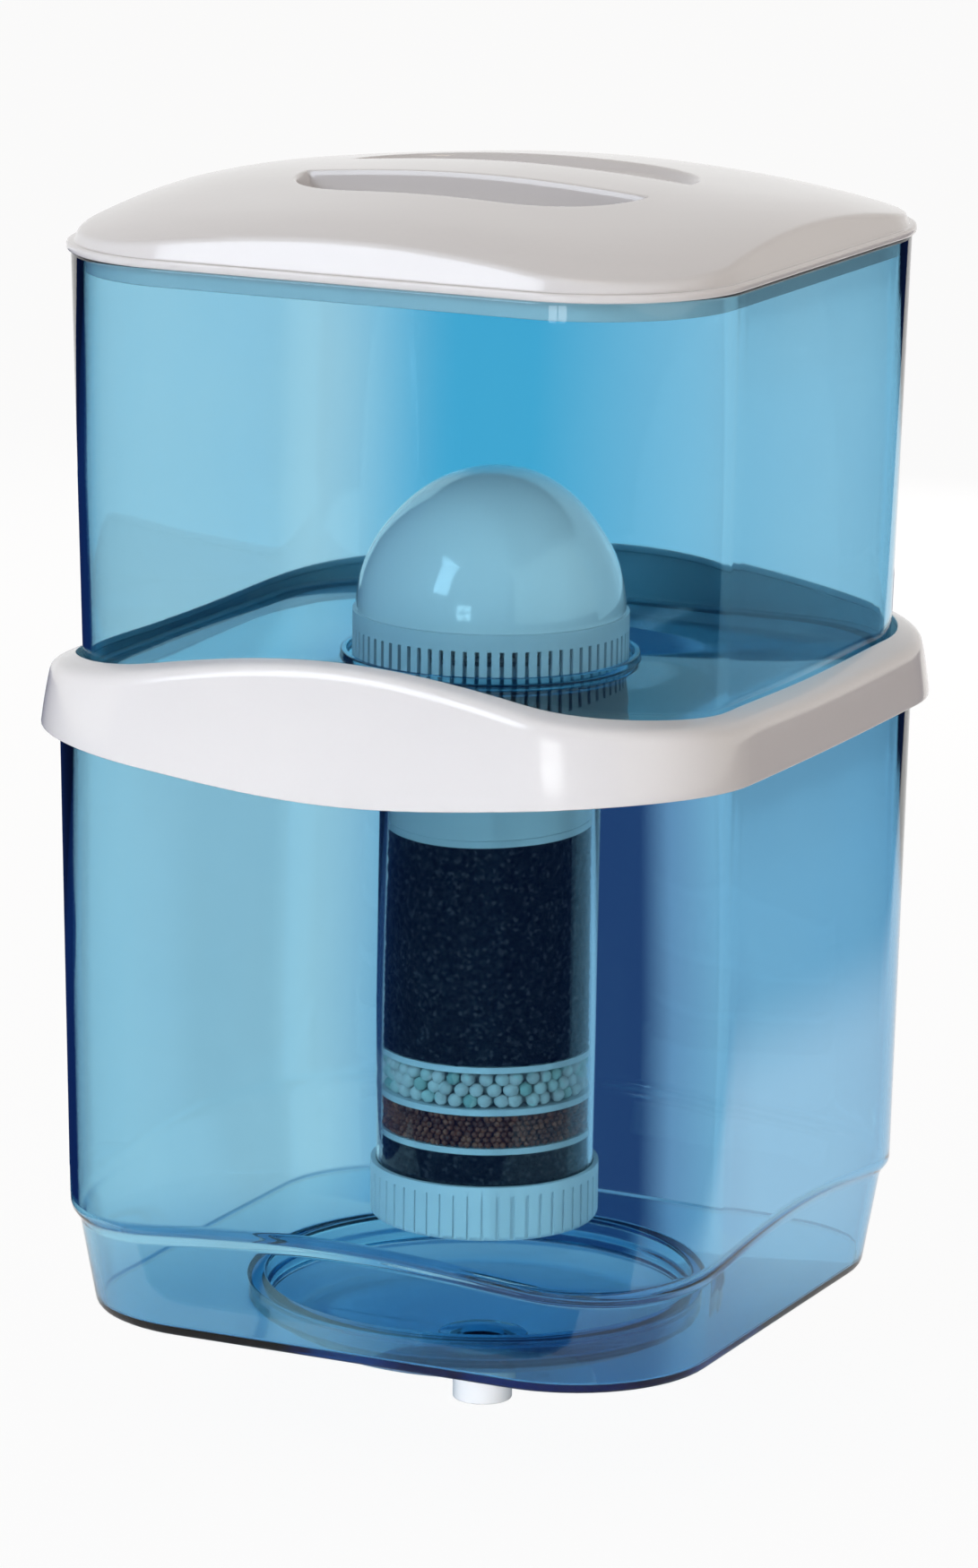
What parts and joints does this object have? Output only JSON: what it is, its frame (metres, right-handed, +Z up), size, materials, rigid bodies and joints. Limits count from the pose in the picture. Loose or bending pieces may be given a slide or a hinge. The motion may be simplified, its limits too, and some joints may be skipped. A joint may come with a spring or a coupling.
{
  "type": "gravity water purifier",
  "caption": "Two-tier clear gravity water purifier with a lift-off lid, waist band, dome strainer, hanging media cartridge and a bottom outlet spigot for a bottle dispenser.",
  "frame": {"origin": "on the vertical axis, in the seat plane under the base, where it rests on a dispenser's top", "axes": "+Z up through the stack, front at -Y, +X to the right seen from the front"},
  "size_m": [0.277, 0.2782, 0.4672],
  "materials": {
    "blue_tank": "clear blue tinted plastic, polished",
    "white_gloss": "white moulded plastic, glossy",
    "white_filter": "white moulded plastic, semi-gloss",
    "ceramic": "porous off-white ceramic, matt",
    "silicone": "translucent white silicone",
    "clear_tube": "clear plastic",
    "carbon": "granular activated carbon",
    "mineral_balls": "smooth ceramic balls",
    "mineral_beads": "brown mineral beads",
    "felt": "white filter felt"
  },
  "bodies": {
    "base_unit": {"lower_tank": "blue_tank", "waist_band": "white_gloss", "outlet_washer": "silicone", "outlet_spigot": "white_gloss"},
    "upper_unit": {"upper_tank": "blue_tank", "strainer_ring": "white_filter", "ceramic_dome": "ceramic", "ceramic_gasket": "silicone", "filter_stem": "white_filter", "floor_gasket": "silicone", "lock_nut": "white_filter"},
    "lid": {"lid": "white_gloss"},
    "dome": {"dome_cover": "white_filter"},
    "cartridge": {"cartridge_cap": "white_filter", "cap_gasket": "silicone", "cartridge_tube": "clear_tube", "inlet_screen": "white_filter", "carbon_bed": "carbon", "upper_divider": "white_filter", "mineral_ball_bed": "mineral_balls", "middle_divider": "white_filter", "mineral_bead_bed": "mineral_beads", "lower_divider": "white_filter", "lower_carbon_bed": "carbon", "outlet_felt": "felt"},
    "foot_cap": {"screw_cap": "white_filter", "foot_seal": "silicone"}
  },
  "joints": [
    {"name": "upper_tank_lift", "type": "slide", "parent": "base_unit", "child": "upper_unit", "axis": [0, 0, 1], "range_m": [0, 0.26]},
    {"name": "lid_lift", "type": "slide", "parent": "upper_unit", "child": "lid", "axis": [0, 0, 1], "range_m": [0, 0.08]},
    {"name": "dome_lift", "type": "slide", "parent": "upper_unit", "child": "dome", "axis": [0, 0, 1], "range_m": [0, 0.065]},
    {"name": "cartridge_unscrew", "type": "hinge", "parent": "upper_unit", "child": "cartridge", "pos_m": [0, 0, 0.2165], "axis": [0, 0, -1], "range_deg": [0, 1080]},
    {"name": "foot_cap_unscrew", "type": "hinge", "parent": "cartridge", "child": "foot_cap", "pos_m": [0, 0, 0.036], "axis": [0, 0, -1], "range_deg": [0, 720]}
  ]
}
